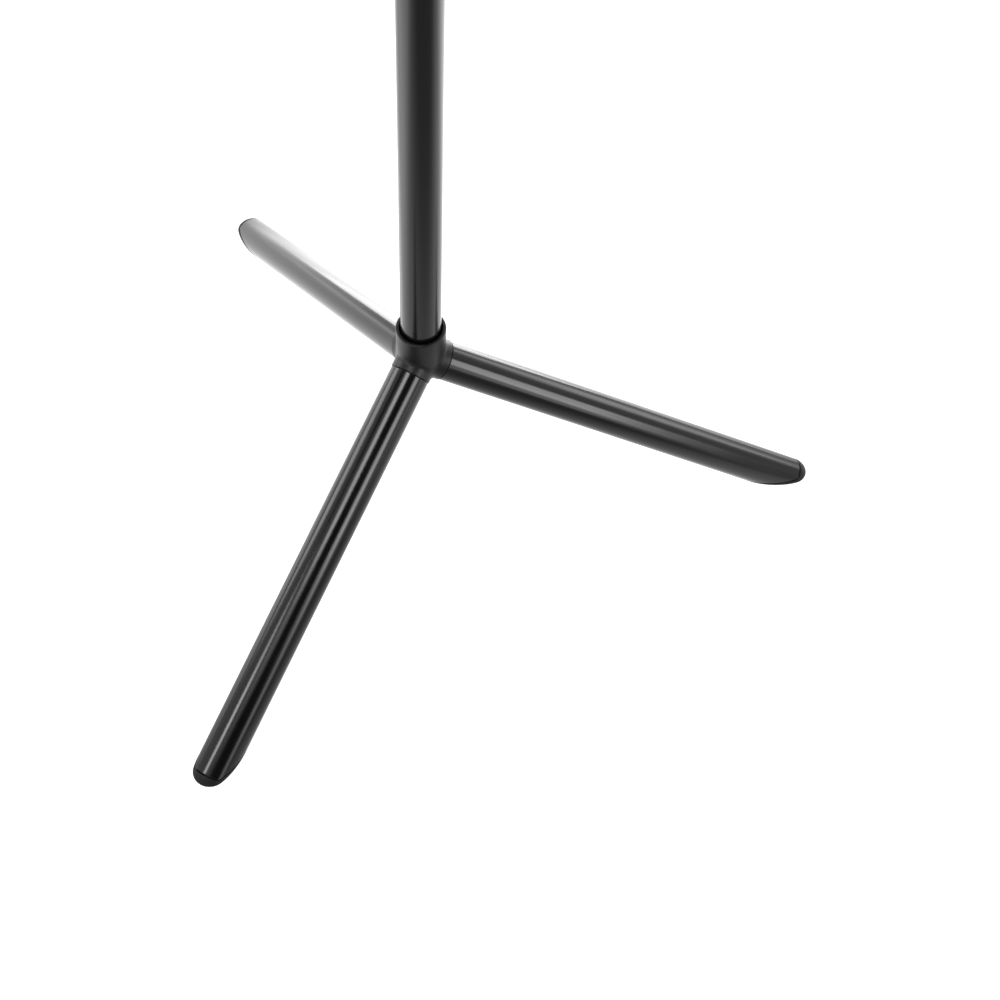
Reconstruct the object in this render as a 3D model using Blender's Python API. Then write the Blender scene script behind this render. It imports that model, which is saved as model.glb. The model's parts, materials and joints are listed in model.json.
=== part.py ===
"""Trumpet stand: three tube legs on a moulded hub, a plain column and a padded bell peg.

Everything is in metres, with +Z up, the floor at z = 0 and the origin under the middle of the
bounding box. The legs push onto spigots that are moulded on the hub, and the column drops into the
hub's socket.
"""

from math import cos, pi, radians, sin, sqrt, tan

import bmesh
import bpy

# Tubes: legs and column are cut from the same stock.
TUBE_RADIUS = 0.0065
TUBE_WALL = 0.0010
TUBE_BORE = TUBE_RADIUS - TUBE_WALL
GAP = 0.0003  # left between pieces that touch
CUT_OVERRUN = 0.0020  # how far a cutter runs past what it cuts

# Tripod: the three leg axes and the column's axis meet in the hub point.
LEG_AZIMUTHS = {"front": -90, "right": 30, "left": 150}
LEG_SLOPE = radians(27.9)
HUB_HEIGHT = 0.0673

# Hub
COLLAR_RADIUS = 0.00804
COLLAR_TOP = 0.01275  # heights on the hub are measured from the hub point
HUB_BOTTOM = -0.0084
HUB_BOTTOM_ROUND = 0.0062
SOCKET_RADIUS = 0.00687
SOCKET_FLOOR = -0.0044
STUB_RADIUS = 0.00666
STUB_START = 0.0005  # from the hub point, along a leg's axis
STUB_LENGTH = 0.0080
LEG_ROOM_CLEARANCE = 0.00015
SPIGOT_RADIUS = 0.0049
SPIGOT_END = 0.0280
SPIGOT_CORE_RADIUS = 0.0028
SPIGOT_CORE_START = 0.0115
GROOVE_RADIUS = 0.0039
GRIP_RING_PLACE = 0.0220
GRIP_RING_SECTION = 0.0005
EDGE_ROUND = 0.0004

# Feet: a plug closes the mitred end of each leg and forms its sole.
SOLE_THICKNESS = 0.0009
PLUG_RADIUS = TUBE_BORE - 0.0004
PLUG_START = 0.1155
PLUG_CORE_RADIUS = 0.0036
PLUG_CORE_END = 0.1275
TOE_SEAM = 0.1502  # where the tube's toe is cut off square
TOE_END = 0.1567
TOE_ROUND = 0.0062

# Column
COLUMN_PLUG_LENGTH = 0.0055
COLUMN_PLUG_RADIUS = 0.0063
COLUMN_GROOVE_RADIUS = 0.0054
COLUMN_RING_SECTION = 0.00042
COLUMN_TOP = 0.2560
PLUG_STEM = 0.0130
PLUG_FLANGE = 0.0012
PLUG_FLANGE_RADIUS = 0.0064

# Bell peg
PEG_BASE = 0.2360
PEG_TOP = 0.3310
PEG_BASE_RADIUS = 0.0180
PEG_TOP_RADIUS = 0.0070
PEG_TAPER_POWER = 1.3
PEG_WALL = 0.0020
PEG_LIP_RADIUS = 0.0215
PEG_LIP = 0.0025
PEG_SOCKET_RADIUS = 0.00685
PEG_SOCKET_WALL = 0.0017
PEG_WEB = 0.0025
PEG_THROAT_RADIUS = 0.0043
PEG_THROAT = 0.0040
COVER_THICKNESS = 0.0015
BASE_RING_WIDTH = 0.0024
BASE_RING_HEIGHT = 0.0050
BASE_RING_EDGE = 0.0002
CAP_RADIUS = 0.0088
CAP_HEIGHT = 0.0065
CAP_RIM = 0.0010
CAP_STEM_RADIUS = 0.0040
CAP_STEM = 0.0080

# Peg screw
SCREW_RADIUS = 0.0019
SCREW_HOLE_RADIUS = 0.0023
SCREW_LENGTH = 0.0150
SCREW_HEAD_RADIUS = 0.0035
SCREW_HEAD = 0.0026
HEX_SOCKET_RADIUS = 0.0016
HEX_SOCKET_DEPTH = 0.0015
WASHER_RADIUS = 0.0042
WASHER_THICKNESS = 0.0008

SIDES = 32  # on a tube; a multiple of four, so that the extreme points lie on the true circle
SMALL_SIDES = 24
ARC_STEPS = 4
TOE_STEPS = 8
PEG_STEPS = 7
RING_SECTION_SIDES = 8
HEXAGON = 6

# The footprint follows from the tripod: the soles lie where the legs' outsides meet the floor.
FOOT_REACH = HUB_HEIGHT / tan(LEG_SLOPE)


def toe_radius(along):
    """The foot plug's outside radius at a distance along the leg; it rounds off at the toe."""
    beyond = min(max(along - (TOE_END - TOE_ROUND), 0), TOE_ROUND)
    return TUBE_RADIUS - TOE_ROUND + sqrt(TOE_ROUND**2 - beyond**2)


def sole_point(angle):
    """Where the foot plug's outside meets the floor: how far out along its leg, and how far across."""
    low, high = 0, TOE_END
    for _ in range(50):
        along = (low + high) / 2
        radius = toe_radius(along)
        if HUB_HEIGHT - along * sin(LEG_SLOPE) + radius * cos(angle) * cos(LEG_SLOPE) > 0:
            low = along
        else:
            high = along
    return along * cos(LEG_SLOPE) + radius * cos(angle) * sin(LEG_SLOPE), radius * sin(angle)


def reach_towards(heading):
    """How far a sole reaches in a direction that lies at an angle to its leg's own heading."""
    points = [sole_point(2 * pi * i / SIDES) for i in range(SIDES)]
    return max(reach * cos(heading) + across * sin(heading) for reach, across in points)


COLUMN_Y = (reach_towards(0) - reach_towards(pi / 3)) / 2


# --- building blocks ---------------------------------------------------------------------------


def clear_scene():
    for old in list(bpy.data.objects):
        bpy.data.objects.remove(old)


def material(name, colour, roughness, metallic=0.0):
    made = bpy.data.materials.new(name)
    made.use_nodes = True
    shader = made.node_tree.nodes["Principled BSDF"]
    shader.inputs["Base Color"].default_value = (*colour, 1.0)
    shader.inputs["Roughness"].default_value = roughness
    shader.inputs["Metallic"].default_value = metallic
    return made


def empty(name, location, rotation=(0, 0, 0)):
    made = bpy.data.objects.new(name, None)
    made.location = location
    made.rotation_euler = rotation
    bpy.context.scene.collection.objects.link(made)
    return made


def turned(outline, sides=SIDES):
    """A solid of revolution about Z from a closed outline of (radius, height) points."""
    mesh = bpy.data.meshes.new("turned")
    bm = bmesh.new()
    rings = []
    for radius, height in outline:
        if radius == 0:
            rings.append([bm.verts.new((0, 0, height))])
            continue
        angles = [2 * pi * i / sides for i in range(sides)]
        rings.append([bm.verts.new((radius * cos(a), radius * sin(a), height)) for a in angles])
    for here, there in zip(rings, rings[1:] + rings[:1]):
        if len(here) == 1 and len(there) == 1:
            continue
        for i in range(sides):
            corners = [here[i % len(here)], here[(i + 1) % len(here)]]
            corners += [there[(i + 1) % len(there)], there[i % len(there)]]
            bm.faces.new(list(dict.fromkeys(corners)))
    bmesh.ops.recalc_face_normals(bm, faces=bm.faces)
    bm.to_mesh(mesh)
    bm.free()
    mesh.shade_smooth()
    mesh.set_sharp_from_angle(angle=radians(35))
    return mesh


def rod(radius, start, end):
    """The outline of a plain rod along Z."""
    return [(0, start), (radius, start), (radius, end), (0, end)]


def sleeve(inner, outer, start, end):
    """The outline of a plain sleeve along Z."""
    return [(inner, start), (outer, start), (outer, end), (inner, end)]


def arc(radius, height, size, start, end, steps=ARC_STEPS):
    """Points of an arc about (radius, height), from one angle to another in degrees."""
    turns = [radians(start + (end - start) * i / steps) for i in range(steps + 1)]
    return [(radius + size * cos(a), height + size * sin(a)) for a in turns]


def piece(name, mesh, finish, parent, height=0.0):
    """A named sub-part, placed along its parent's Z axis."""
    made = bpy.data.objects.new(name, mesh)
    if not mesh.materials:
        mesh.materials.append(finish)
    made.parent = parent
    made.location = (0, 0, height)
    bpy.context.scene.collection.objects.link(made)
    return made


def cutter(name, mesh, parent):
    made = bpy.data.objects.new(name, mesh)
    made.parent = parent
    made.hide_render = True
    made.display_type = "WIRE"
    bpy.context.scene.collection.objects.link(made)
    return made


def slab(name, top):
    """A wide block under the height top, which trims what stands on the floor."""
    half = 2 * FOOT_REACH
    mesh = bpy.data.meshes.new(name)
    bm = bmesh.new()
    bmesh.ops.create_cube(bm, size=1.0)
    bmesh.ops.scale(bm, vec=(2 * half, 2 * half, half), verts=bm.verts)
    bmesh.ops.translate(bm, vec=(0, 0, top - half / 2), verts=bm.verts)
    bm.to_mesh(mesh)
    bm.free()
    return cutter(name, mesh, None)


def combine(target, other, operation):
    step = target.modifiers.new(f"{operation.lower()} {other.name}", "BOOLEAN")
    step.operation = operation
    step.solver = "EXACT"
    step.object = other


# --- hub ---------------------------------------------------------------------------------------


def spigot_outline():
    half_groove = GRIP_RING_SECTION + GAP
    return [
        (0, STUB_LENGTH / 2),
        (SPIGOT_RADIUS, STUB_LENGTH / 2),
        (SPIGOT_RADIUS, GRIP_RING_PLACE - half_groove),
        (GROOVE_RADIUS, GRIP_RING_PLACE - half_groove),
        (GROOVE_RADIUS, GRIP_RING_PLACE + half_groove),
        (SPIGOT_RADIUS, GRIP_RING_PLACE + half_groove),
        (SPIGOT_RADIUS, SPIGOT_END - EDGE_ROUND),
        (SPIGOT_RADIUS - EDGE_ROUND, SPIGOT_END),
        (SPIGOT_CORE_RADIUS, SPIGOT_END),
        (SPIGOT_CORE_RADIUS, SPIGOT_CORE_START),
        (0, SPIGOT_CORE_START),
    ]


def make_hub(hub_point, leg_axes, nylon):
    """One moulding: a collar for the column, three short stubs and the spigots that the legs push onto."""
    collar = [(0, HUB_BOTTOM)]
    round_centre = (COLLAR_RADIUS - HUB_BOTTOM_ROUND, HUB_BOTTOM + HUB_BOTTOM_ROUND)
    collar += arc(*round_centre, HUB_BOTTOM_ROUND, -90, 0)
    collar += arc(COLLAR_RADIUS - EDGE_ROUND, COLLAR_TOP - EDGE_ROUND, EDGE_ROUND, 0, 90)
    collar += [(0, COLLAR_TOP)]
    hub = piece("hub_body", turned(collar), nylon, hub_point)
    room = rod(STUB_RADIUS + LEG_ROOM_CLEARANCE, STUB_LENGTH, SPIGOT_END + CUT_OVERRUN)
    stages = (
        ("hub_stub", rod(STUB_RADIUS, STUB_START, STUB_LENGTH + CUT_OVERRUN), "UNION"),
        ("leg_room", room, "DIFFERENCE"),
        ("hub_spigot", spigot_outline(), "UNION"),
    )
    for name, outline, operation in stages:
        mesh = turned(outline)
        for side, axis in leg_axes.items():
            combine(hub, cutter(f"{name}_{side}", mesh, axis), operation)
    socket_mesh = turned(rod(SOCKET_RADIUS, SOCKET_FLOOR, COLLAR_TOP + CUT_OVERRUN))
    socket = cutter("column_socket", socket_mesh, hub_point)
    combine(hub, socket, "DIFFERENCE")


# --- legs --------------------------------------------------------------------------------------


def grip_ring(radius, section):
    """A rubber ring of round section about Z."""
    step = 360 / RING_SECTION_SIDES
    return turned(arc(radius, 0, section, 0, 360 - step, RING_SECTION_SIDES - 1), SMALL_SIDES)


def make_legs(leg_axes, coat, sole_rubber, ring_rubber):
    ground = slab("ground", 0)
    sole_slab = slab("sole_slab", SOLE_THICKNESS)
    mitre_slab = slab("mitre_slab", SOLE_THICKNESS + GAP)
    far = TOE_END + CUT_OVERRUN
    tube_mesh = turned(sleeve(TUBE_BORE, TUBE_RADIUS, STUB_LENGTH + GAP, far))
    toe_cut_mesh = turned(rod(TUBE_RADIUS + CUT_OVERRUN, TOE_SEAM, far + CUT_OVERRUN))
    plug = [(0, PLUG_START), (TUBE_RADIUS, PLUG_START)]
    plug += arc(TUBE_RADIUS - TOE_ROUND, TOE_END - TOE_ROUND, TOE_ROUND, 0, 90, TOE_STEPS)
    plug += [(0, TOE_END)]
    plug_mesh = turned(plug)
    room_start = PLUG_START - CUT_OVERRUN
    room_mesh = turned(sleeve(PLUG_RADIUS, TUBE_RADIUS + CUT_OVERRUN, room_start, TOE_SEAM + GAP))
    core_mesh = turned(rod(PLUG_CORE_RADIUS, room_start, PLUG_CORE_END), SMALL_SIDES)
    ring_mesh = grip_ring(SPIGOT_RADIUS + GAP - GRIP_RING_SECTION, GRIP_RING_SECTION)
    for side, axis in leg_axes.items():
        tube = piece(f"leg_tube_{side}", tube_mesh, coat, axis)
        combine(tube, mitre_slab, "DIFFERENCE")
        combine(tube, cutter(f"toe_cut_{side}", toe_cut_mesh, axis), "DIFFERENCE")
        foot = piece(f"foot_plug_{side}", plug_mesh, sole_rubber, axis)
        room = cutter(f"tube_room_{side}", room_mesh, axis)
        combine(room, sole_slab, "DIFFERENCE")
        combine(foot, room, "DIFFERENCE")
        combine(foot, cutter(f"plug_core_{side}", core_mesh, axis), "DIFFERENCE")
        combine(foot, ground, "DIFFERENCE")
        piece(f"leg_grip_ring_{side}", ring_mesh, ring_rubber, axis, GRIP_RING_PLACE)


# --- column ------------------------------------------------------------------------------------


def make_column(axis, coat, plug_plastic, ring_rubber):
    """The column stands on its bottom plug in the hub's socket; its top plug takes the peg's screw."""
    seat = HUB_HEIGHT + SOCKET_FLOOR + GAP
    tube_start = seat + COLUMN_PLUG_LENGTH + GAP
    tube = turned(sleeve(TUBE_BORE, TUBE_RADIUS, tube_start, COLUMN_TOP))
    piece("column_tube", tube, coat, axis)
    ring_place = seat + COLUMN_PLUG_LENGTH / 2
    half_groove = COLUMN_RING_SECTION + GAP
    bottom = [
        (0, seat),
        (COLUMN_PLUG_RADIUS - EDGE_ROUND, seat),
        (COLUMN_PLUG_RADIUS, seat + EDGE_ROUND),
        (COLUMN_PLUG_RADIUS, ring_place - half_groove),
        (COLUMN_GROOVE_RADIUS, ring_place - half_groove),
        (COLUMN_GROOVE_RADIUS, ring_place + half_groove),
        (COLUMN_PLUG_RADIUS, ring_place + half_groove),
        (COLUMN_PLUG_RADIUS, seat + COLUMN_PLUG_LENGTH),
        (PLUG_RADIUS, seat + COLUMN_PLUG_LENGTH),
        (PLUG_RADIUS, tube_start + PLUG_STEM),
        (0, tube_start + PLUG_STEM),
    ]
    piece("column_bottom_plug", turned(bottom), plug_plastic, axis)
    ring_radius = SOCKET_RADIUS - GAP - COLUMN_RING_SECTION
    piece("column_grip_ring", grip_ring(ring_radius, COLUMN_RING_SECTION), ring_rubber, axis, ring_place)
    flange = COLUMN_TOP + GAP
    top = [
        (SCREW_HOLE_RADIUS, COLUMN_TOP - PLUG_STEM),
        (PLUG_RADIUS, COLUMN_TOP - PLUG_STEM),
        (PLUG_RADIUS, flange),
        (PLUG_FLANGE_RADIUS, flange),
        (PLUG_FLANGE_RADIUS, flange + PLUG_FLANGE),
        (SCREW_HOLE_RADIUS, flange + PLUG_FLANGE),
    ]
    piece("column_top_plug", turned(top), plug_plastic, axis)
    return flange + PLUG_FLANGE + GAP


# --- bell peg ----------------------------------------------------------------------------------


def peg_radius(height, offset=0.0):
    """The core's outer radius at a height, moved outwards by offset."""
    share = (height - PEG_BASE) / (PEG_TOP - PEG_BASE)
    return PEG_TOP_RADIUS + (PEG_BASE_RADIUS - PEG_TOP_RADIUS) * (1 - share**PEG_TAPER_POWER) + offset


def peg_line(low, high, offset=0.0):
    """Points up the peg's taper from one height to another."""
    heights = [low + (high - low) * i / PEG_STEPS for i in range(PEG_STEPS + 1)]
    return [(peg_radius(height, offset), height) for height in heights]


def make_peg_core(axis, plastic, web):
    """A hollow cone with a socket for the column's top under a web, which the screw clamps."""
    lip_top = PEG_BASE + PEG_LIP
    throat = PEG_TOP - PEG_THROAT
    outline = [(PEG_LIP_RADIUS, PEG_BASE), (PEG_LIP_RADIUS, lip_top)]
    outline += peg_line(lip_top, PEG_TOP)
    outline += [(PEG_THROAT_RADIUS, PEG_TOP), (PEG_THROAT_RADIUS, throat)]
    outline += peg_line(throat, web + PEG_WEB, -PEG_WALL)
    outline += [(SCREW_HOLE_RADIUS, web + PEG_WEB), (SCREW_HOLE_RADIUS, web), (PEG_SOCKET_RADIUS, web)]
    socket_outside = PEG_SOCKET_RADIUS + PEG_SOCKET_WALL
    outline += [(PEG_SOCKET_RADIUS, PEG_BASE), (socket_outside, PEG_BASE), (socket_outside, web)]
    outline += peg_line(web, PEG_BASE, -PEG_WALL)
    piece("peg_core", turned(outline), plastic, axis)


def make_peg_cover(axis, felt):
    low = PEG_BASE + PEG_LIP + GAP
    high = PEG_TOP - GAP
    outline = peg_line(low, high, GAP + COVER_THICKNESS) + peg_line(high, low, GAP)
    piece("peg_cover", turned(outline), felt, axis)


def make_peg_base_ring(axis, rubber):
    """A soft bead on the peg's lip, around the hem of the cover."""
    low = PEG_BASE + PEG_LIP + GAP
    inner = peg_radius(low, 2 * GAP + COVER_THICKNESS)
    edge = inner + BASE_RING_EDGE
    half = BASE_RING_HEIGHT / 2
    outline = [(inner, low + BASE_RING_HEIGHT), (inner, low)]
    bulge = [radians(-90 + 180 * i / ARC_STEPS) for i in range(ARC_STEPS + 1)]
    outline += [(edge + BASE_RING_WIDTH * cos(a), low + half + half * sin(a)) for a in bulge]
    piece("peg_base_ring", turned(outline), rubber, axis)


def make_peg_cap(axis, plastic):
    seat = PEG_TOP + GAP
    outline = [(0, seat - CAP_STEM), (CAP_STEM_RADIUS, seat - CAP_STEM), (CAP_STEM_RADIUS, seat)]
    dome = [radians(90 * i / ARC_STEPS) for i in range(ARC_STEPS)]
    outline += [(CAP_RADIUS, seat)]
    outline += [(CAP_RADIUS * cos(a), seat + CAP_RIM + (CAP_HEIGHT - CAP_RIM) * sin(a)) for a in dome]
    outline += [(0, seat + CAP_HEIGHT)]
    piece("peg_top_cap", turned(outline), plastic, axis)


def make_peg_screw(axis, steel, web_top):
    washer = web_top + GAP
    head = washer + WASHER_THICKNESS + GAP
    washer_outline = sleeve(SCREW_HOLE_RADIUS, WASHER_RADIUS, washer, washer + WASHER_THICKNESS)
    piece("peg_washer", turned(washer_outline, SMALL_SIDES), steel, axis)
    top = head + SCREW_HEAD
    outline = [(0, head - SCREW_LENGTH), (SCREW_RADIUS - EDGE_ROUND, head - SCREW_LENGTH)]
    outline += [(SCREW_RADIUS, head - SCREW_LENGTH + EDGE_ROUND), (SCREW_RADIUS, head)]
    outline += [(SCREW_HEAD_RADIUS, head), (SCREW_HEAD_RADIUS, top - EDGE_ROUND)]
    outline += [(SCREW_HEAD_RADIUS - EDGE_ROUND, top), (0, top)]
    screw = piece("peg_screw", turned(outline, SMALL_SIDES), steel, axis)
    key = turned(rod(HEX_SOCKET_RADIUS, top - HEX_SOCKET_DEPTH, top + CUT_OVERRUN), HEXAGON)
    combine(screw, cutter("hex_key", key, axis), "DIFFERENCE")


def main():
    clear_scene()
    coat = material("black_tube_coat", (0.012, 0.012, 0.013), 0.2)
    nylon = material("black_nylon", (0.022, 0.022, 0.022), 0.5)
    sole_rubber = material("black_sole_rubber", (0.016, 0.016, 0.016), 0.6)
    ring_rubber = material("grip_ring_rubber", (0.02, 0.02, 0.02), 0.55)
    plug_plastic = material("column_plug_plastic", (0.03, 0.03, 0.03), 0.5)
    peg_plastic = material("peg_plastic", (0.02, 0.02, 0.02), 0.45)
    felt = material("peg_felt", (0.014, 0.014, 0.015), 0.95)
    steel = material("zinc_steel", (0.6, 0.6, 0.6), 0.35, 1.0)

    hub_point = empty("hub_point", (0, COLUMN_Y, HUB_HEIGHT))
    leg_axes = {}
    for side, azimuth in LEG_AZIMUTHS.items():
        turn = (0, pi / 2 + LEG_SLOPE, radians(azimuth))
        leg_axes[side] = empty(f"leg_axis_{side}", (0, COLUMN_Y, HUB_HEIGHT), turn)
    column_axis = empty("column_axis", (0, COLUMN_Y, 0))

    make_hub(hub_point, leg_axes, nylon)
    make_legs(leg_axes, coat, sole_rubber, ring_rubber)
    web = make_column(column_axis, coat, plug_plastic, ring_rubber)
    make_peg_core(column_axis, peg_plastic, web)
    make_peg_cover(column_axis, felt)
    make_peg_base_ring(column_axis, ring_rubber)
    make_peg_cap(column_axis, peg_plastic)
    make_peg_screw(column_axis, steel, web + PEG_WEB)


main()
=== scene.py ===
"""Looks of the trumpet stand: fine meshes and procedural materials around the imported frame.

Lengths are metres. Each leg has its own axes: Z runs outwards along the tube, and X points down,
square to it. Round pieces are turned about Z from an outline of (radius, height) points.
"""

import json
from math import asin, atan2, cos, exp, hypot, pi, radians, sin, sqrt, tan

import bmesh
import bpy
from mathutils import Matrix, Vector, noise


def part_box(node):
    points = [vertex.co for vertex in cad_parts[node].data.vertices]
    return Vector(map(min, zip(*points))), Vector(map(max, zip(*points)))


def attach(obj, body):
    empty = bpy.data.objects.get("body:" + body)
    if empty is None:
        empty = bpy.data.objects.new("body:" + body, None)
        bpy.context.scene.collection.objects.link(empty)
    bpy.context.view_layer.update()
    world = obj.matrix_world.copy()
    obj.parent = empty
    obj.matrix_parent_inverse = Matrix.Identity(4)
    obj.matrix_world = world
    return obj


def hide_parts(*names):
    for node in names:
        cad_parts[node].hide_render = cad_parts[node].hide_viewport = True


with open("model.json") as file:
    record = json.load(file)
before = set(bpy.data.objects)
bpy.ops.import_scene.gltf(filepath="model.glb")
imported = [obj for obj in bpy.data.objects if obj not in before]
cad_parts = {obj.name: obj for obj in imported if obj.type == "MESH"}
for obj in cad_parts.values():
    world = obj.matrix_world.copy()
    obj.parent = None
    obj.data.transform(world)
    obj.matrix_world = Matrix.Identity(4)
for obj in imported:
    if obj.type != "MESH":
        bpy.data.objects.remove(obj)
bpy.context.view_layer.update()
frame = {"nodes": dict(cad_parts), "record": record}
record = frame["record"]
scene = bpy.context.scene

# --- places and sizes read from the frame --------------------------------------------------------

SIDES = ("front", "right", "left")
column_low, column_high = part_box("column_tube")
TUBE_RADIUS = (column_high.x - column_low.x) / 2
TUBE_BORE = TUBE_RADIUS - 0.0010
PLUG_RADIUS = TUBE_BORE - 0.0004
COLUMN = (column_low + column_high) / 2
AT_COLUMN = Matrix.Translation((COLUMN.x, COLUMN.y, 0))
soles = {m["name"].removeprefix("sole_"): Vector(m["pos_m"]) for m in record["mounts"]}
joints = record["behaviour"]["joints"]
axes = {j["child"].removeprefix("leg_"): Vector(j["axis"]).normalized() for j in joints}
SLOPE = asin(-axes["front"].z)
FOOT_REACH = hypot(soles["front"].x - COLUMN.x, soles["front"].y - COLUMN.y)
HUB = Vector((COLUMN.x, COLUMN.y, FOOT_REACH * tan(SLOPE)))


def start_along(node, radius):
    """How far along the leg a round node begins, from the height of its upper rim."""
    return (HUB.z + radius * cos(SLOPE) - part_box(node)[1].z) / sin(SLOPE)


LEG_START = start_along("leg_tube_front", TUBE_RADIUS)
PLUG_START = start_along("foot_plug_front", PLUG_RADIUS)

# --- sizes of the fine detail --------------------------------------------------------------------

GAP = 0.0003  # between pieces that meet
FINE = 192  # sides of the round pieces that the eye meets first
COARSE = 96
RIM_ROUND = 0.00012  # on the cut ends of the tubes

SOLE_SEAM = 0.00048  # the dark line between a tube's mitred end and its plug
SOLE_THICKNESS = 0.0009
SOLE_ROUND = 0.00025
SEAT_EDGE = 0.0001  # chamfer where the plug's seat meets its outside
TOE_SEAM = 0.1502  # along the leg, where the tube's toe is cut off square
TOE_END = 0.1567
TOE_ROUND = 0.0062

COLLAR_RADIUS = 0.00804
COLLAR_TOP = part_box("hub_body")[1].z - HUB.z
COLLAR_ROUND = 0.0004
HUB_BOTTOM = -0.0084  # heights on the hub are from the hub point
BOTTOM_ROUND = 0.0062
SOCKET_RADIUS = 0.00695
SOCKET_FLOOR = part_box("column_bottom_plug")[0].z - GAP - HUB.z
STUB_RADIUS = 0.00666
STUB_FILLET = 0.0008
SPIGOT_RADIUS = 0.0049
SPIGOT_END = 0.0280
SPIGOT_ROUND = 0.0004
SPIGOT_CORE = 0.0028  # radius of the hole in a spigot's end
SPIGOT_CORE_START = 0.0115
GROOVE_RADIUS = 0.0039
GRIP_RING_PLACE = 0.0220
GRIP_RING_SECTION = 0.0005

COLUMN_RING_SECTION = 0.00042
COLUMN_GROOVE_DEPTH = 0.0009
COLUMN_FOOT_ROUND = 0.0005
COLUMN_SHOULDER_ROUND = 0.0002

peg_low, peg_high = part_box("peg_core")
cover_low, cover_high = (corner.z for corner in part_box("peg_cover"))
PEG_BASE, PEG_TOP = peg_low.z, peg_high.z
PEG_BASE_RADIUS = 0.0180
PEG_TOP_RADIUS = 0.0070
PEG_TAPER_POWER = 1.3
PEG_WALL = 0.0020
PEG_LIP = 0.0025
PEG_LIP_RADIUS = (peg_high.x - peg_low.x) / 2
PEG_LIP_ROUND = 0.0006
PEG_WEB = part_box("peg_washer")[0].z - GAP
PEG_WEB_THICKNESS = 0.0025
PEG_SOCKET_RADIUS = 0.00685
PEG_SOCKET_WALL = 0.0017
PEG_SOCKET_ROUND = 0.0003
PEG_INNER_EDGE = 0.0004  # chamfer inside the peg's foot
PEG_THROAT_RADIUS = 0.0043
PEG_THROAT = 0.0040
SCREW_HOLE = 0.0023
COVER_THICKNESS = 0.0015
COVER_SEAM = pi / 2  # direction of the cover's seam, at the back
BEAD_EDGE = 0.0006  # how far below the bead's top its inner wall ends
BEAD_LAND = 0.0004  # between that wall and the bulge
CAP_STEM = 0.0040
CAP_STEM_ROUND = 0.0004
CAP_SKIRT_GAP = 0.0001  # over the cover's upper end
CAP_SKIRT_ROUND = 0.0003
CAP_DOME_RISE = 0.001  # from the cap's seat to where its dome starts


def leg_place(side):
    """The leg's own axes at the hub point, as a matrix."""
    along = axes[side]
    down = (along.cross(Vector((0, 0, 1)))).normalized().cross(along) * -1
    if down.z > 0:
        down = -down
    across = along.cross(down)
    turn = Matrix((down, across, along)).transposed()
    return Matrix.Translation(HUB) @ turn.to_4x4()


# --- mesh building blocks ------------------------------------------------------------------------


def mesh_from_rows(rows, sharp=40):
    """A closed skin through rows of points that run round one axis; a row of one point is a pole."""
    mesh = bpy.data.meshes.new("skin")
    bm = bmesh.new()
    rings = [[bm.verts.new(point) for point in row] for row in rows]
    for here, there in zip(rings, rings[1:] + rings[:1]):
        count = max(len(here), len(there))
        if count == 1:
            continue
        for i in range(count):
            corners = [here[i % len(here)], here[(i + 1) % len(here)]]
            corners += [there[(i + 1) % len(there)], there[i % len(there)]]
            bm.faces.new(list(dict.fromkeys(corners)))
    bmesh.ops.recalc_face_normals(bm, faces=bm.faces)
    bm.to_mesh(mesh)
    bm.free()
    mesh.shade_smooth()
    mesh.set_sharp_from_angle(angle=radians(sharp))
    return mesh


def around(sides):
    """Angles of a full turn."""
    return [2 * pi * i / sides for i in range(sides)]


def circle(radius, height, sides):
    """A row of points around Z, or the one point of a pole."""
    if radius == 0:
        return [(0, 0, height)]
    return [(radius * cos(a), radius * sin(a), height) for a in around(sides)]


def turned(outline, sides=COARSE, sharp=40):
    """A solid of revolution about Z from a closed outline of (radius, height) points."""
    return mesh_from_rows([circle(radius, height, sides) for radius, height in outline], sharp)


def arc(radius, height, size, start, end, steps=5):
    """Points of an arc about (radius, height), from one angle to another in degrees."""
    turns = [radians(start + (end - start) * i / steps) for i in range(steps + 1)]
    return [(radius + size * cos(a), height + size * sin(a)) for a in turns]


def sleeve(inner, outer, start, end, rounding):
    """The outline of a sleeve with rounded rims: its outside, then its inside."""
    outline = arc(outer - rounding, start + rounding, rounding, -90, 0)
    outline += arc(outer - rounding, end - rounding, rounding, 0, 90)
    outline += arc(inner + rounding, end - rounding, rounding, 90, 180)
    outline += arc(inner + rounding, start + rounding, rounding, 180, 270)
    return outline


def halve(low, high, is_short, steps):
    """Closes in on the place between low and high where is_short stops being true."""
    for _ in range(steps):
        middle = (low + high) / 2
        if is_short(middle):
            low = middle
        else:
            high = middle
    return low


def grip_ring(radius, section, sides=20):
    """A rubber ring of round section."""
    return turned(arc(radius, 0, section, 0, 360 - 360 / sides, sides - 1), COARSE, sharp=60)


def add(name, mesh, finish, place=None):
    """Makes an object with its place in its mesh; own_place keeps its points' own coordinates."""
    if isinstance(mesh, bpy.types.Mesh):
        own = mesh.attributes.new("own_place", "FLOAT_VECTOR", "POINT")
        own.data.foreach_set("vector", [c for vertex in mesh.vertices for c in vertex.co])
    if place is not None:
        mesh.transform(place)
    made = bpy.data.objects.new(name, mesh)
    mesh.materials.clear()
    mesh.materials.append(finish)
    scene.collection.objects.link(made)
    return made


def even_shading(made):
    """Lets large faces set the normals, so small rounded rims don't bend a long wall's shading."""
    step = made.modifiers.new("normals", "WEIGHTED_NORMAL")
    step.mode = "FACE_AREA"
    step.keep_sharp = True
    return made


def settle(piece, body, slot, *nodes):
    """Says which body the piece rides on and which CAD nodes it stands for. The slot is not used."""
    bpy.context.view_layer.update()
    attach(piece, body)
    if nodes:
        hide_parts(*nodes)


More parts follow.
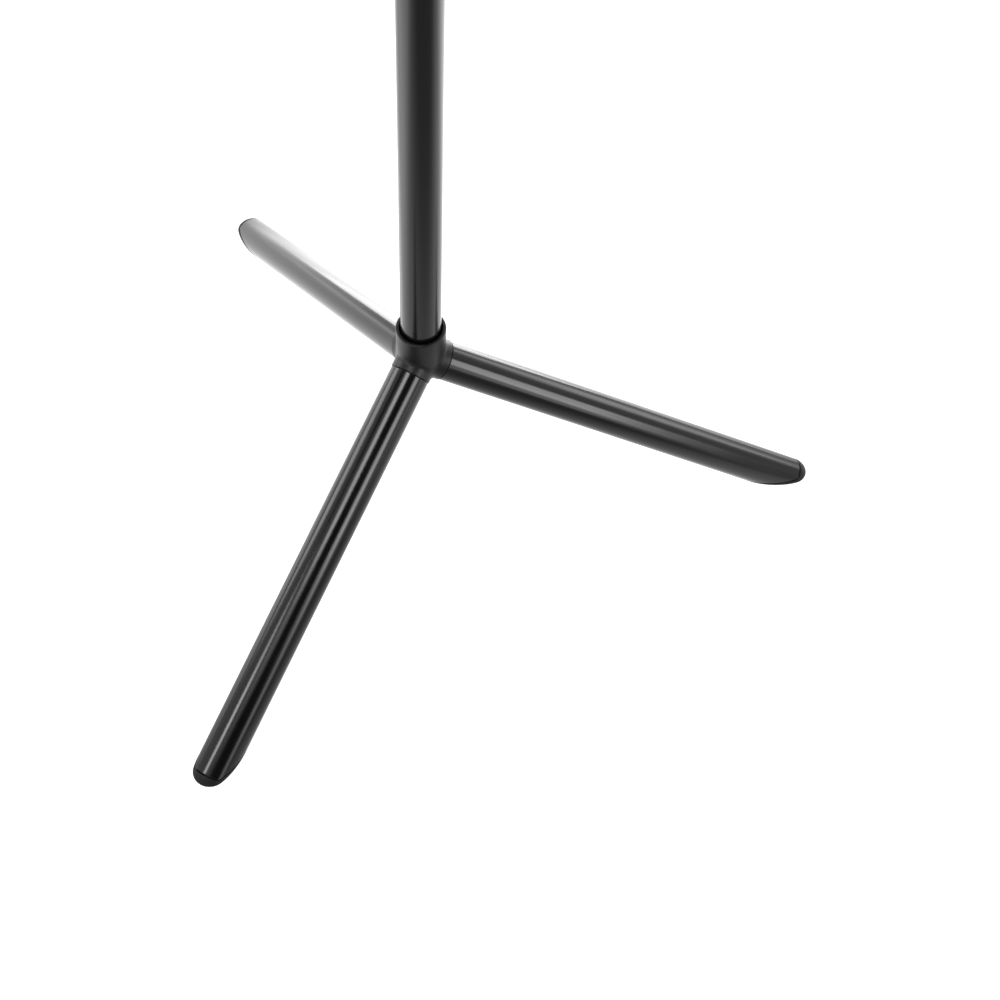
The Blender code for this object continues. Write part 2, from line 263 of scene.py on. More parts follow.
def combine(target, other, operation):
    """Applies one Boolean step and removes the tool."""
    step = target.modifiers.new("step", "BOOLEAN")
    step.operation = operation
    step.solver = "EXACT"
    step.object = other
    bpy.context.view_layer.update()
    graph = bpy.context.evaluated_depsgraph_get()
    result = bpy.data.meshes.new_from_object(target.evaluated_get(graph))
    target.modifiers.clear()
    target.data = result
    bpy.data.objects.remove(other)


# --- materials -----------------------------------------------------------------------------------


class Finish:
    """A Principled material whose detail comes from nodes in the piece's own coordinates."""

    def __init__(self, name, colour, roughness, metallic=0.0, own_axes=False):
        self.material = bpy.data.materials.new(name)
        self.material.use_nodes = True
        self.nodes = self.material.node_tree.nodes
        self.links = self.material.node_tree.links
        self.shader = self.nodes["Principled BSDF"]
        self.shader.inputs["Base Color"].default_value = (*colour, 1.0)
        self.shader.inputs["Roughness"].default_value = roughness
        self.shader.inputs["Metallic"].default_value = metallic
        if own_axes:
            attribute = self.nodes.new("ShaderNodeAttribute")
            attribute.attribute_name = "own_place"
            self.place = attribute.outputs["Vector"]
        else:
            self.place = self.nodes.new("ShaderNodeTexCoord").outputs["Object"]
        self.height = None

    def noise(self, scale, detail=3.0, stretch=(1, 1, 1), roughness=0.5):
        """Fractal noise; scale is in features per metre, and stretch squeezes it along an axis."""
        mapping = self.nodes.new("ShaderNodeMapping")
        mapping.inputs["Scale"].default_value = stretch
        self.links.new(self.place, mapping.inputs["Vector"])
        texture = self.nodes.new("ShaderNodeTexNoise")
        texture.inputs["Scale"].default_value = scale
        texture.inputs["Detail"].default_value = detail
        texture.inputs["Roughness"].default_value = roughness
        self.links.new(mapping.outputs["Vector"], texture.inputs["Vector"])
        return texture.outputs["Fac"]

    def spread(self, source, low, high, start=0.3, end=0.7):
        """Maps noise from start..end onto low..high."""
        ranged = self.nodes.new("ShaderNodeMapRange")
        ranged.inputs["From Min"].default_value = start
        ranged.inputs["From Max"].default_value = end
        ranged.inputs["To Min"].default_value = low
        ranged.inputs["To Max"].default_value = high
        self.links.new(source, ranged.inputs["Value"])
        return ranged.outputs["Result"]

    def blend(self, factor, first, second):
        """Colour that runs from first to second with factor."""
        ramp = self.nodes.new("ShaderNodeValToRGB")
        ramp.color_ramp.elements[0].color = (*first, 1.0)
        ramp.color_ramp.elements[1].color = (*second, 1.0)
        self.links.new(factor, ramp.inputs["Fac"])
        self.links.new(ramp.outputs["Color"], self.shader.inputs["Base Color"])

    def bump(self, source, distance):
        """Adds relief; several calls stack."""
        node = self.nodes.new("ShaderNodeBump")
        node.inputs["Distance"].default_value = distance
        self.links.new(source, node.inputs["Height"])
        if self.height is not None:
            self.links.new(self.height, node.inputs["Normal"])
        self.height = node.outputs["Normal"]
        self.links.new(self.height, self.shader.inputs["Normal"])

    def rough(self, source):
        """Lets a map set the roughness."""
        self.links.new(source, self.shader.inputs["Roughness"])


def grey(level):
    """A neutral colour."""
    return (level, level, level)


def tube_coat():
    """Smooth black coating on drawn tube: faint orange peel, drawing lines and rub marks."""
    made = Finish("tube_coat", (0.002, 0.002, 0.0022), 0.16, own_axes=True)
    peel = made.noise(900, 2.0)
    lines = made.noise(1400, 2.0, (1, 1, 0.02))
    rubs = made.noise(60, 5.0, (1, 1, 0.35), 0.65)
    made.bump(peel, 0.0000035)
    made.bump(lines, 0.0000015)
    made.rough(made.spread(rubs, 0.15, 0.22))
    made.blend(rubs, (0.0012, 0.0012, 0.0013), (0.0028, 0.0028, 0.003))
    return made.material


def moulded(name, dark, light, roughness, grain, relief, shine):
    """Moulded plastic or rubber with a fine spark-eroded grain and slight flow marks."""
    low, high = roughness
    made = Finish(name, grey(light), (low + high) / 2)
    made.shader.inputs["Specular IOR Level"].default_value = shine
    fine = made.noise(grain, 3.0, roughness=0.6)
    flow = made.noise(150, 4.0, roughness=0.55)
    made.bump(fine, relief)
    made.bump(flow, relief * 1.5)
    made.rough(made.spread(flow, low, high))
    made.blend(made.spread(fine, 0.0, 1.0), grey(dark), grey(light))
    return made.material


def felt_finish():
    """Needled felt: matted fibres over soft lumps, with a light fuzz."""
    made = Finish("peg_felt", (0.012, 0.012, 0.013), 0.95)
    made.shader.inputs["Specular IOR Level"].default_value = 0.15
    made.shader.inputs["Sheen Weight"].default_value = 0.12
    made.shader.inputs["Sheen Tint"].default_value = (0.35, 0.35, 0.38, 1.0)
    made.shader.inputs["Sheen Roughness"].default_value = 0.45
    fibres = made.noise(2600, 6.0, (1, 1, 0.45), 0.75)
    mat = made.noise(420, 4.0, roughness=0.6)
    made.bump(fibres, 0.00012)
    made.bump(mat, 0.00015)
    made.rough(made.spread(mat, 0.88, 1.0))
    tufts = made.spread(fibres, 0.0, 1.0, 0.35, 0.65)
    made.blend(tufts, (0.005, 0.005, 0.0054), (0.026, 0.026, 0.028))
    return made.material


def thread_finish():
    """Twisted black sewing thread."""
    made = Finish("peg_thread", (0.02, 0.02, 0.022), 0.7)
    twist = made.noise(5200, 2.0)
    made.bump(twist, 0.00005)
    made.blend(twist, (0.010, 0.010, 0.011), (0.035, 0.035, 0.038))
    return made.material


def zinc_finish():
    """Bright zinc plate with turning marks."""
    made = Finish("screw_steel", (0.55, 0.56, 0.58), 0.32, 1.0)
    marks = made.noise(2600, 3.0, (1, 1, 0.1))
    made.bump(marks, 0.000006)
    made.rough(made.spread(marks, 0.25, 0.42))
    made.blend(made.noise(300, 4.0), (0.45, 0.46, 0.48), (0.66, 0.66, 0.66))
    return made.material


COAT = tube_coat()
NYLON = moulded("hub_nylon", 0.0015, 0.0045, (0.33, 0.43), 3200, 0.00003, shine=0.32)
SOLE = moulded("sole_rubber", 0.002, 0.005, (0.42, 0.52), 2800, 0.00003, shine=0.28)
RUBBER = moulded("ring_rubber", 0.010, 0.018, (0.40, 0.55), 1800, 0.000015, shine=0.3)
PLUG = moulded("plug_plastic", 0.016, 0.028, (0.42, 0.55), 2400, 0.00002, shine=0.4)
PEG = moulded("peg_plastic", 0.010, 0.020, (0.38, 0.50), 2600, 0.000025, shine=0.35)
FELT = felt_finish()
THREAD = thread_finish()
ZINC = zinc_finish()


# --- legs and feet -------------------------------------------------------------------------------


def floor_along(x, lift=0.0):
    """How far along the leg a line at x below its axis meets a plane that is lift above the floor."""
    return (HUB.z - lift - x * cos(SLOPE)) / sin(SLOPE)


def leg_mesh():
    """A tube with a square start, a mitred end over the sole, and its toe cut off square."""
    angles = around(FINE)

    def end(radius, angle):
        lift = SOLE_THICKNESS + SOLE_SEAM - GAP / 2
        return min(floor_along(radius * cos(angle), lift), TOE_SEAM)

    def end_row(radius, inset):
        return [(radius * cos(a), radius * sin(a), end(radius, a) - inset) for a in angles]

    steps = 3
    turns = [radians(90 * i / steps) for i in range(steps + 1)]
    rise = [(RIM_ROUND * (1 - sin(a)), RIM_ROUND * (1 - cos(a))) for a in turns]
    rows = [circle(TUBE_RADIUS - inward, LEG_START + along, FINE) for inward, along in rise]
    rows += [end_row(TUBE_RADIUS - inward, along) for along, inward in rise]
    rows += [end_row(TUBE_BORE + outward, along) for outward, along in rise]
    rows += [circle(TUBE_BORE + outward, LEG_START + along, FINE) for along, outward in rise]
    return mesh_from_rows(rows, sharp=35)


def toe_radius(z):
    """The plug's outer radius along the leg: full, then rounding off at the toe."""
    beyond = max(z - (TOE_END - TOE_ROUND), 0)
    return TUBE_RADIUS - TOE_ROUND + sqrt(max(TOE_ROUND**2 - beyond**2, 0))


def height_of(z, angle):
    """Height above the floor of the plug's outer surface."""
    return HUB.z - z * sin(SLOPE) - toe_radius(z) * cos(angle) * cos(SLOPE)


def outer_at_height(height, angle):
    """How far along the leg the plug's outer surface comes down to a height."""
    return halve(PLUG_START, TOE_END, lambda z: height_of(z, angle) > height, 40)


def foot_mesh():
    """The moulded plug: a core inside the tube, a thin sole under its mitre and a rounded toe."""
    angles = around(FINE)
    sole_centre = Vector((0, 0, floor_along(0)))
    seat_lift = SOLE_THICKNESS - GAP / 2
    toe_seat = TOE_SEAM + SOLE_SEAM

    def on_skin(angle, z):
        radius = toe_radius(z)
        return Vector((radius * cos(angle), radius * sin(angle), z))

    def seat_row(radius):
        row = []
        for a in angles:
            top = min(floor_along(radius * cos(a), seat_lift), toe_seat)
            row.append((radius * cos(a), radius * sin(a), top))
        return row

    wall_rows, round_rows = 9, 4
    walls = [[] for _ in range(wall_rows)]
    rounds = [[] for _ in range(round_rows)]
    for a in angles:
        wall_top = floor_along(TUBE_RADIUS * cos(a), seat_lift - SEAT_EDGE)
        start = min(wall_top, toe_seat + SEAT_EDGE)
        stop = outer_at_height(SOLE_ROUND, a)
        for i, wall in enumerate(walls):
            wall.append(on_skin(a, start + (stop - start) * sin(i / (wall_rows - 1) * pi / 2)))
        corner = on_skin(a, outer_at_height(0, a))
        inward = (sole_centre - corner).normalized() * SOLE_ROUND
        for i, ring in enumerate(rounds):
            u = (i + 1) / round_rows
            bend = walls[-1][-1] * (1 - u) ** 2 + corner * 2 * u * (1 - u) + (corner + inward) * u**2
            ring.append(bend)
    rows = [circle(0, PLUG_START, FINE), circle(PLUG_RADIUS - RIM_ROUND, PLUG_START, FINE)]
    rows += [circle(PLUG_RADIUS, PLUG_START + RIM_ROUND, FINE)]
    rows += [seat_row(PLUG_RADIUS), seat_row(TUBE_RADIUS - SEAT_EDGE)]
    return mesh_from_rows(rows + walls + rounds + [[sole_centre]], sharp=35)


def make_legs():
    """The three leg tubes with their feet, and the grip rings that stay on the hub."""
    legs, feet = leg_mesh(), foot_mesh()
    ring = grip_ring(SPIGOT_RADIUS + GAP - GRIP_RING_SECTION, GRIP_RING_SECTION)
    for side in SIDES:
        place = leg_place(side)
        at_groove = place @ Matrix.Translation((0, 0, GRIP_RING_PLACE))
        tube = even_shading(add(f"leg_tube_fine_{side}", legs.copy(), COAT, place))
        foot = even_shading(add(f"foot_fine_{side}", feet.copy(), SOLE, place))
        band = add(f"leg_ring_fine_{side}", ring.copy(), RUBBER, at_groove)
        settle(tube, f"leg_{side}", "tube_coat", f"leg_tube_{side}")
        settle(foot, f"leg_{side}", "sole_rubber", f"foot_plug_{side}")
        settle(band, "hub", "ring_rubber", f"leg_grip_ring_{side}")


# --- hub -----------------------------------------------------------------------------------------


def smooth_min(a, b, size):
    """The smaller of two distances, with a fillet of the given size where they are close."""
    share = max(size - abs(a - b), 0) / size
    return min(a, b) - share * share * size / 4


def hub_distance(point):
    """Near enough the signed distance to the moulding's outside: a collar blended into stubs."""
    side = hypot(point.x, point.y) - (COLLAR_RADIUS - BOTTOM_ROUND)
    below = HUB_BOTTOM + BOTTOM_ROUND - point.z
    outside = hypot(max(side, 0), max(below, 0)) + min(max(side, below), 0)
    nearest = outside - BOTTOM_ROUND
    for leg in SIDES:
        along = max(point.dot(axes[leg]), 0)
        stub = (point - axes[leg] * along).length - STUB_RADIUS
        nearest = smooth_min(nearest, stub, STUB_FILLET)
    return nearest


def reach_of_hub(direction):
    """Distance from the hub point to the moulding's outside in a direction."""
    nearest, farthest = 0.003, 0.025
    return halve(nearest, farthest, lambda reach: hub_distance(direction * reach) < 0, 26)


def hub_shell():
    """The moulding's outside as rings seen from the hub point, its rim and its socket."""
    sides, rings = ((240, 130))
    half = COLLAR_ROUND / 2
    rim_low = COLLAR_TOP - COLLAR_ROUND
    rim = arc(SOCKET_RADIUS + half, COLLAR_TOP - half, half, 180, 90)
    rim += arc(COLLAR_RADIUS - COLLAR_ROUND, rim_low, COLLAR_ROUND, 90, 0)
    rows = [circle(0, SOCKET_FLOOR, sides), circle(SOCKET_RADIUS, SOCKET_FLOOR, sides)]
    rows += [circle(radius, height, sides) for radius, height in rim]
    top = atan2(rim_low, COLLAR_RADIUS)
    for i in range(1, rings):
        tilt = top + (-pi / 2 - top) * i / rings
        directions = [Vector(point) for point in circle(cos(tilt), sin(tilt), sides)]
        rows.append([direction * reach_of_hub(direction) for direction in directions])
    down = Vector((0, 0, -1))
    rows.append([down * reach_of_hub(down)])
    return mesh_from_rows(rows, sharp=50)


def spigot_outline():
    """A spigot that starts inside its stub, with a groove for the grip ring and a cored end."""
    half_groove = GRIP_RING_SECTION + GAP
    groove_start, groove_end = GRIP_RING_PLACE - half_groove, GRIP_RING_PLACE + half_groove
    outline = [(0, LEG_START / 2), (SPIGOT_RADIUS, LEG_START / 2)]
    outline += [(SPIGOT_RADIUS, groove_start), (GROOVE_RADIUS, groove_start)]
    outline += [(GROOVE_RADIUS, groove_end), (SPIGOT_RADIUS, groove_end)]
    outline += arc(SPIGOT_RADIUS - SPIGOT_ROUND, SPIGOT_END - SPIGOT_ROUND, SPIGOT_ROUND, 0, 90)
    outline += [(SPIGOT_CORE, SPIGOT_END), (SPIGOT_CORE, SPIGOT_CORE_START)]
    outline += [(0, SPIGOT_CORE_START)]
    return outline


def make_hub():
    """The moulding: its shell cut square for each tube, with a spigot let into each cut."""
    hub = add("hub_fine", hub_shell(), NYLON, Matrix.Translation(HUB))
    room = STUB_RADIUS + 0.001  # a little wider than the stub, so that the cut goes right through
    room_start = LEG_START - GAP
    room_outline = [(0, room_start), (room, room_start), (room, SPIGOT_END), (0, SPIGOT_END)]
    for side in SIDES:
        combine(hub, add("room", turned(room_outline), NYLON, leg_place(side)), "DIFFERENCE")
    for side in SIDES:
        combine(hub, add("spigot", turned(spigot_outline()), NYLON, leg_place(side)), "UNION")
    hub.data.shade_smooth()
    hub.data.set_sharp_from_angle(angle=radians(50))
    hub.data.materials.clear()
    hub.data.materials.append(NYLON)
    settle(hub, "hub", "hub_nylon", "hub_body")


# --- column --------------------------------------------------------------------------------------


def column_plug_outline(low, high, radius, ring_place):
    """The plug in the column's lower end: a grooved foot, a shoulder and the core in the tube."""
    half_groove = COLUMN_RING_SECTION + GAP
    groove = radius - COLUMN_GROOVE_DEPTH
    shoulder = column_low.z - GAP
    foot, edge = COLUMN_FOOT_ROUND, COLUMN_SHOULDER_ROUND
    outline = [(0, low)]
    outline += arc(radius - foot, low + foot, foot, -90, 0)
    outline += [(radius, ring_place - half_groove), (groove, ring_place - half_groove)]
    outline += [(groove, ring_place + half_groove), (radius, ring_place + half_groove)]
    outline += arc(radius - edge, shoulder - edge, edge, 0, 90)
    outline += [(PLUG_RADIUS, shoulder), (PLUG_RADIUS, high), (0, high)]
    return outline


def make_column():
    """The column's tube, its lower plug and the plug's grip ring."""
    tube = sleeve(TUBE_BORE, TUBE_RADIUS, column_low.z, column_high.z, RIM_ROUND)
    tube = even_shading(add("column_tube_fine", turned(tube, FINE), COAT, AT_COLUMN))
    settle(tube, "column", "tube_coat", "column_tube")
    low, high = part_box("column_bottom_plug")
    ring_low, ring_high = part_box("column_grip_ring")
    ring_place = (ring_low.z + ring_high.z) / 2
    plug = turned(column_plug_outline(low.z, high.z, (high.x - low.x) / 2, ring_place))
    plug = even_shading(add("column_plug_fine", plug, PLUG, AT_COLUMN))
    settle(plug, "column", "plug_plastic", "column_bottom_plug")
    ring_radius = (ring_high.x - ring_low.x) / 2 - COLUMN_RING_SECTION
    at_ring = AT_COLUMN @ Matrix.Translation((0, 0, ring_place))
    ring = add("column_ring_fine", grip_ring(ring_radius, COLUMN_RING_SECTION), RUBBER, at_ring)
    settle(ring, "column", "ring_rubber", "column_grip_ring")


# --- bell peg ------------------------------------------------------------------------------------


def peg_radius(height, offset=0.0):
    """The core's outer radius at a height, moved outwards by offset."""
    share = (height - PEG_BASE) / (PEG_TOP - PEG_BASE)
    taper = (PEG_BASE_RADIUS - PEG_TOP_RADIUS) * (1 - share**PEG_TAPER_POWER)
    return PEG_TOP_RADIUS + taper + offset


def peg_line(low, high, offset=0.0, steps=24):
    """Points along the peg's curved side from one height to another."""
    heights = [low + (high - low) * i / steps for i in range(steps + 1)]
    return [(peg_radius(height, offset), height) for height in heights]


def peg_core():
    """The hollow core: a lip at its foot, a web for the screw and a socket for the column."""
    web_low = PEG_WEB - PEG_WEB_THICKNESS
    throat = PEG_TOP - PEG_THROAT
    lip = PEG_LIP_ROUND
    socket_outer = PEG_SOCKET_RADIUS + PEG_SOCKET_WALL
    socket_wall = sleeve(PEG_SOCKET_RADIUS, socket_outer, PEG_BASE, web_low, PEG_SOCKET_ROUND)
    outline = arc(PEG_LIP_RADIUS - lip, PEG_BASE + lip, lip, -90, 0)
    outline += arc(PEG_LIP_RADIUS - lip, PEG_BASE + PEG_LIP - lip, lip, 0, 90)
    outline += peg_line(PEG_BASE + PEG_LIP, PEG_TOP)
    outline += [(PEG_THROAT_RADIUS, PEG_TOP), (PEG_THROAT_RADIUS, throat)]
    outline += peg_line(throat, PEG_WEB, -PEG_WALL)
    outline += [(SCREW_HOLE, PEG_WEB), (SCREW_HOLE, web_low), (PEG_SOCKET_RADIUS, web_low)]
    rim_points = 6
    outline += socket_wall[-rim_points:] + socket_wall[:rim_points]
    outline += [(socket_outer, web_low)]
    outline += peg_line(web_low, PEG_BASE + PEG_INNER_EDGE, -PEG_WALL)
    outline += [(peg_radius(PEG_BASE, PEG_INNER_EDGE - PEG_WALL), PEG_BASE)]
    return turned(outline, FINE)


def hump(distance, width):
    """A smooth rise that is 1 at its middle and fades over its width."""
    return exp(-((distance / width) ** 2))


def peg_cover():
    """A felt sleeve with rounded hems, a lumpy matted surface and a closed seam up its back."""
    low, high = cover_low, cover_high
    sides, steps = ((256, 240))
    half = COVER_THICKNESS / 2
    outline = arc(peg_radius(low, GAP + half), low + half, half, 180, 360, 8)
    outline += peg_line(low + half, high - half, GAP + COVER_THICKNESS, steps)[1:-1]
    outline += arc(peg_radius(high, GAP + half), high - half, half, 0, 180, 8)
    outline += peg_line(high - half, low + half, GAP, 12)[1:-1]
    mesh = turned(outline, sides, sharp=80)
    seam_depth, seam_width = 0.00045, 0.00035
    welt_height, welt_place, welt_width = 0.00012, 0.0013, 0.0007
    for vertex in mesh.vertices:
        x, y, z = vertex.co
        radius = hypot(x, y)
        if radius < peg_radius(z, GAP + half):
            continue
        from_seam = (atan2(y, x) - COVER_SEAM) * radius
        lumps = noise.noise(vertex.co * 900) * 0.00006 + noise.noise(vertex.co * 260) * 0.00005
        seam = welt_height * hump(abs(from_seam) - welt_place, welt_width)
        seam -= seam_depth * hump(from_seam, seam_width)
        change = (lumps + seam - welt_height) / radius
        vertex.co.x += x * change
        vertex.co.y += y * change
    return mesh


def stitches():
    """Short slanted stitches across the cover's seam, as one curve of separate threads."""
    curve = bpy.data.curves.new("stitches", "CURVE")
    curve.dimensions = "3D"
    curve.bevel_depth = 0.00022
    curve.bevel_resolution = 3
    curve.use_fill_caps = True
    spacing, width, slant, steps = 0.0034, 0.0036, 0.45, 6
    proud, sunk = 0.00012, 0.00055
    height = cover_low + spacing
    while height < cover_high - spacing:
        spline = curve.splines.new("POLY")
        spline.points.add(steps)
        for i, point in enumerate(spline.points):
            across = (i / steps - 0.5) * width
            z = height + across * slant
            lift = proud - sunk * abs(2 * i / steps - 1) ** 4
            radius = peg_radius(z, GAP + COVER_THICKNESS + lift)
            angle = COVER_SEAM + across / radius
            point.co = (radius * cos(angle), radius * sin(angle), z, 1)
        height += spacing
    return curve


def make_cover():
    """The felt cover with its seam's thread."""
    cover = add("peg_cover_fine", peg_cover(), FELT, AT_COLUMN)
    settle(cover, "column", "peg_felt", "peg_cover")
    seam = add("peg_seam_thread", stitches(), THREAD, AT_COLUMN)
    settle(seam, "column", "peg_felt")


def peg_bead():
    """The soft bead around the cover's foot: a half round with a short land on top."""
    low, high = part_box("peg_base_ring")
    half = (high.z - low.z) / 2
    inner = peg_radius(PEG_BASE + PEG_LIP, 2 * GAP + COVER_THICKNESS)
    start = inner + BEAD_LAND
    width = (high.x - low.x) / 2 - start
    steps = 16
    bulge = [radians(-90 + 180 * i / steps) for i in range(steps + 1)]
    outline = [(inner, high.z - BEAD_EDGE), (inner, low.z)]
    outline += [(start + width * cos(a), low.z + half + half * sin(a)) for a in bulge]
    return turned(outline, FINE)


def peg_cap():
    """The cap: a stem in the core's throat, a skirt over the cover's end and a dome."""
    low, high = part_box("peg_top_cap")
    radius = (high.x - low.x) / 2
    seat = PEG_TOP + GAP
    skirt, skirt_inside = cover_high + CAP_SKIRT_GAP, PEG_TOP_RADIUS + GAP
    stem_edge, skirt_edge = CAP_STEM_ROUND, CAP_SKIRT_ROUND
    outline = [(0, low.z)]
    outline += arc(CAP_STEM - stem_edge, low.z + stem_edge, stem_edge, -90, 0)
    outline += [(CAP_STEM, seat), (skirt_inside, seat), (skirt_inside, skirt)]
    outline += arc(radius - skirt_edge, skirt + skirt_edge, skirt_edge, -90, 0)
    steps = 24
    dome_start = seat + CAP_DOME_RISE
    dome = [radians(90 * i / steps) for i in range(steps)]
    outline += [(radius * cos(a), dome_start + (high.z - dome_start) * sin(a)) for a in dome]
    outline += [(0, high.z)]
    return turned(outline, FINE)


def make_peg():
    """The bell peg on top of the column."""
    core = even_shading(add("peg_core_fine", peg_core(), PEG, AT_COLUMN))
    settle(core, "column", "peg_plastic", "peg_core")
    make_cover()
    bead = add("peg_ring_fine", peg_bead(), RUBBER, AT_COLUMN)
    settle(bead, "column", "ring_rubber", "peg_base_ring")
    cap = even_shading(add("peg_cap_fine", peg_cap(), PEG, AT_COLUMN))
    settle(cap, "column", "peg_plastic", "peg_top_cap")


def finish_hidden_nodes():
    """The pieces inside the peg keep their CAD shape and get their own finishes."""
    for node, finish in (("column_top_plug", PLUG), ("peg_screw", ZINC), ("peg_washer", ZINC)):
        shown = frame["nodes"][node]
        shown.data.materials.clear()
        shown.data.materials.append(finish)


# --- floor, light and camera ---------------------------------------------------------------------


def smooth_range(nodes, links, source, start, end, low, high):
    """Maps source from start..end onto low..high with soft ends."""
    ranged = nodes.new("ShaderNodeMapRange")
    ranged.interpolation_type = "SMOOTHSTEP"
    for name, value in (("From Min", start), ("From Max", end), ("To Min", low), ("To Max", high)):
        ranged.inputs[name].default_value = value
    links.new(source, ranged.inputs["Value"])
    return ranged.outputs["Result"]


def math_node(nodes, links, operation, first, second):
    """One sum or product; the second term is a socket or a plain number."""
    node = nodes.new("ShaderNodeMath")
    node.operation = operation
    links.new(first, node.inputs[0])
    if isinstance(second, float):
        node.inputs[1].default_value = second
    else:
        links.new(second, node.inputs[1])
    return node.outputs["Value"]


def vector_node(nodes, links, operation, source, fixed):
    """A distance or a dot product between a direction or place and a fixed one."""
    node = nodes.new("ShaderNodeVectorMath")
    node.operation = operation
    node.inputs[1].default_value = fixed
    links.new(source, node.inputs[0])
    return node.outputs["Value"]


def floor_glow(nodes, links):
    """The light that the floor casts: strongest behind the stand and to its left."""
    here = nodes.new("ShaderNodeTexCoord").outputs["Object"]
    place = nodes.new("ShaderNodeSeparateXYZ")
    links.new(here, place.inputs["Vector"])
    x, y = place.outputs["X"], place.outputs["Y"]
    from_hub = vector_node(nodes, links, "DISTANCE", here, (HUB.x, HUB.y, 0))
    lean = 0.45
    aslant = math_node(nodes, links, "ADD", math_node(nodes, links, "MULTIPLY", x, lean), y)
    leftwards = smooth_range(nodes, links, x, 0.10, -0.13, 0.30, 1.15)
    near_hub = smooth_range(nodes, links, from_hub, 0.05, 0.20, 0.26, 0.0)
    left_front = math_node(
        nodes,
        links,
        "MULTIPLY",
        smooth_range(nodes, links, x, -0.04, -0.16, 0.0, 1.1),
        smooth_range(nodes, links, y, 0.05, -0.06, 0.0, 1.0),
    )
    behind = smooth_range(nodes, links, y, HUB.y - 0.06, HUB.y + 0.10, 0.0, 1.0)
    far_behind = smooth_range(nodes, links, y, HUB.y + 0.08, HUB.y + 0.20, 0.0, 1.4)
    back_left = math_node(
        nodes,
        links,
        "MULTIPLY",
        smooth_range(nodes, links, x, 0.02, -0.08, 0.0, 1.0),
        smooth_range(nodes, links, aslant, HUB.y + 0.02, HUB.y + 0.075, 0.0, 1.6),
    )
    glow = leftwards
    for part in (near_hub, left_front, behind, far_behind, back_left):
        glow = math_node(nodes, links, "ADD", glow, part)
    return glow


def make_floor():
    """A pale table that looks evenly white, and casts more light from behind and from the left."""
    mesh = bpy.data.meshes.new("floor")
    bm = bmesh.new()
    bmesh.ops.create_circle(bm, cap_ends=True, segments=96, radius=4.0)
    bm.to_mesh(mesh)
    bm.free()
    finish = bpy.data.materials.new("pale_floor")
    finish.use_nodes = True
    nodes, links = finish.node_tree.nodes, finish.node_tree.links
    seen = nodes["Principled BSDF"]
    seen.inputs["Base Color"].default_value = (0.5, 0.5, 0.5, 1)
    seen.inputs["Roughness"].default_value = 0.9
    seen.inputs["Specular IOR Level"].default_value = 0.0
    seen.inputs["Emission Color"].default_value = (1, 1, 1, 1)
    seen.inputs["Emission Strength"].default_value = 0.8
    cast = nodes.new("ShaderNodeEmission")
    links.new(floor_glow(nodes, links), cast.inputs["Strength"])
    mix = nodes.new("ShaderNodeMixShader")
    links.new(nodes.new("ShaderNodeLightPath").outputs["Is Camera Ray"], mix.inputs["Fac"])
    links.new(cast.outputs["Emission"], mix.inputs[1])
    links.new(seen.outputs["BSDF"], mix.inputs[2])
    links.new(mix.outputs["Shader"], nodes["Material Output"].inputs["Surface"])
    below_soles = Matrix.Translation((0, 0, -0.0002))
    add("floor", mesh, finish, below_soles)


def softbox(name, place, size, radiance, turn=0.0):
    """A soft light at a place relative to the hub point, facing it."""
    lamp = bpy.data.lights.new(name, "AREA")
    lamp.shape = "RECTANGLE"
    lamp.size, lamp.size_y = size
    lamp.energy = radiance * pi * size[0] * size[1]
    made = bpy.data.objects.new(name, lamp)
    made.location = HUB + Vector(place)
    facing = (-Vector(place)).to_track_quat("-Z", "Y")
    made.rotation_euler = (facing.to_matrix() @ Matrix.Rotation(radians(turn), 3, "Z")).to_euler()
    made.visible_camera = False
    scene.collection.objects.link(made)


def make_lights():
    """Softboxes; a dimmer halo around one softens its edge in the tubes' gloss."""
    softbox("right_box", (0.543, -0.070, 0.248), (0.29, 0.19), 4.6, turn=30)
    softbox("right_halo", (0.550, -0.075, 0.240), (0.38, 0.28), 1.3, turn=30)
    softbox("right_tail", (0.545, -0.195, 0.095), (0.26, 0.14), 1.8, turn=34)
    softbox("top_box", (0.088, -0.305, 0.622), (0.21, 0.25), 6.4)
    softbox("top_halo", (0.085, -0.360, 0.590), (0.26, 0.36), 1.1)
    softbox("front_left_box", (-0.255, -0.512, 0.457), (0.14, 0.20), 8.8)
    softbox("left_box", (-0.550, -0.080, 0.205), (0.30, 0.24), 4.2)
    softbox("back_right_box", (0.410, 0.710, 0.345), (0.32, 0.28), 2.6)
    softbox("back_right_halo", (0.400, 0.710, 0.300), (0.54, 0.44), 0.9)
    softbox("back_box", (-0.160, 0.345, 0.040), (0.49, 0.16), 7.0)


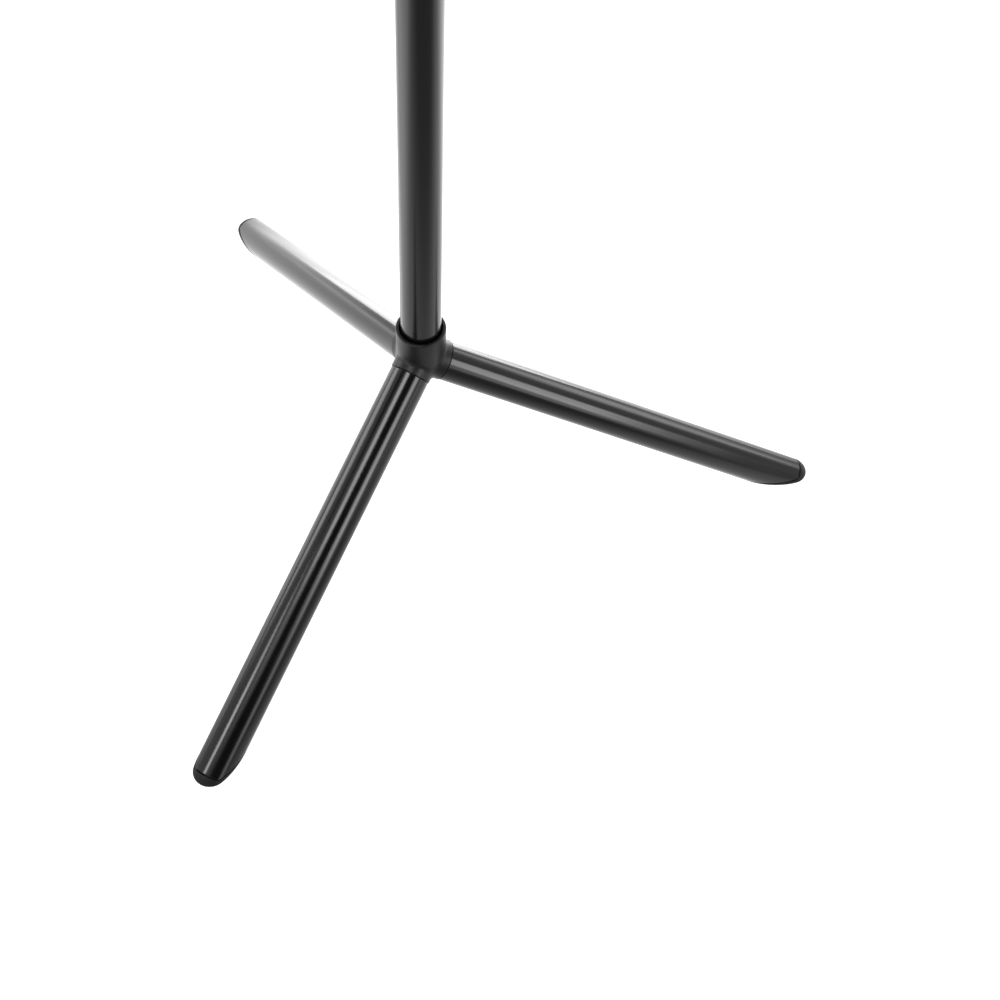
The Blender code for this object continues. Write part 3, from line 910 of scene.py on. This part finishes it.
def make_sky():
    """An even glow, darker in two directions, which the camera sees as plain white."""
    sky = scene.world or bpy.data.worlds.new("sky")
    scene.world = sky
    sky.use_nodes = True
    nodes, links = sky.node_tree.nodes, sky.node_tree.links
    nodes.clear()
    direction = nodes.new("ShaderNodeTexCoord").outputs["Generated"]
    dark_sides = []
    for toward, start, end, remains in (
        ((0.62, -0.40, 0.67), 0.72, 0.95, 0.04),
        ((-0.40, -0.34, 0.85), 0.975, 0.998, 0.05),
    ):
        alignment = vector_node(nodes, links, "DOT_PRODUCT", direction, Vector(toward).normalized())
        dark_sides.append(smooth_range(nodes, links, alignment, start, end, 1.0, remains))
    brightness = 0.80
    shaded = math_node(nodes, links, "MULTIPLY", *dark_sides)
    glow = nodes.new("ShaderNodeBackground")
    glow.inputs["Color"].default_value = (1, 1, 1, 1)
    links.new(math_node(nodes, links, "MULTIPLY", shaded, brightness), glow.inputs["Strength"])
    white = nodes.new("ShaderNodeBackground")
    white.inputs["Color"].default_value = (1, 1, 1, 1)
    mix = nodes.new("ShaderNodeMixShader")
    links.new(nodes.new("ShaderNodeLightPath").outputs["Is Camera Ray"], mix.inputs["Fac"])
    links.new(glow.outputs["Background"], mix.inputs[1])
    links.new(white.outputs["Background"], mix.inputs[2])
    links.new(mix.outputs["Shader"], nodes.new("ShaderNodeOutputWorld").inputs["Surface"])


def make_camera():
    """The picture's viewpoint: high in front of the hub, right of the front leg, tilted a little."""
    azimuth, pitch, roll = radians(25.144), radians(56.494), radians(4.015)
    from_hub = Vector((12.705, -21.862, 31.670)) * 2 * TUBE_RADIUS
    forward = Vector((-sin(azimuth) * cos(pitch), cos(azimuth) * cos(pitch), -sin(pitch)))
    level = Vector((cos(azimuth), sin(azimuth), 0))
    upright = level.cross(forward)
    right = level * cos(roll) + upright * sin(roll)
    up = upright * cos(roll) - level * sin(roll)
    lens = bpy.data.cameras.new("camera")
    lens.sensor_width = 36
    lens.lens = 58.5
    lens.clip_start = 0.01
    made = bpy.data.objects.new("camera", lens)
    turn = Matrix((right, up, -forward)).transposed()
    made.matrix_world = Matrix.Translation(HUB + from_hub) @ turn.to_4x4()
    scene.collection.objects.link(made)
    scene.camera = made


make_legs()
make_hub()
make_column()
make_peg()
finish_hidden_nodes()
make_floor()
make_lights()
make_sky()
make_camera()
scene.view_settings.view_transform = "Standard"
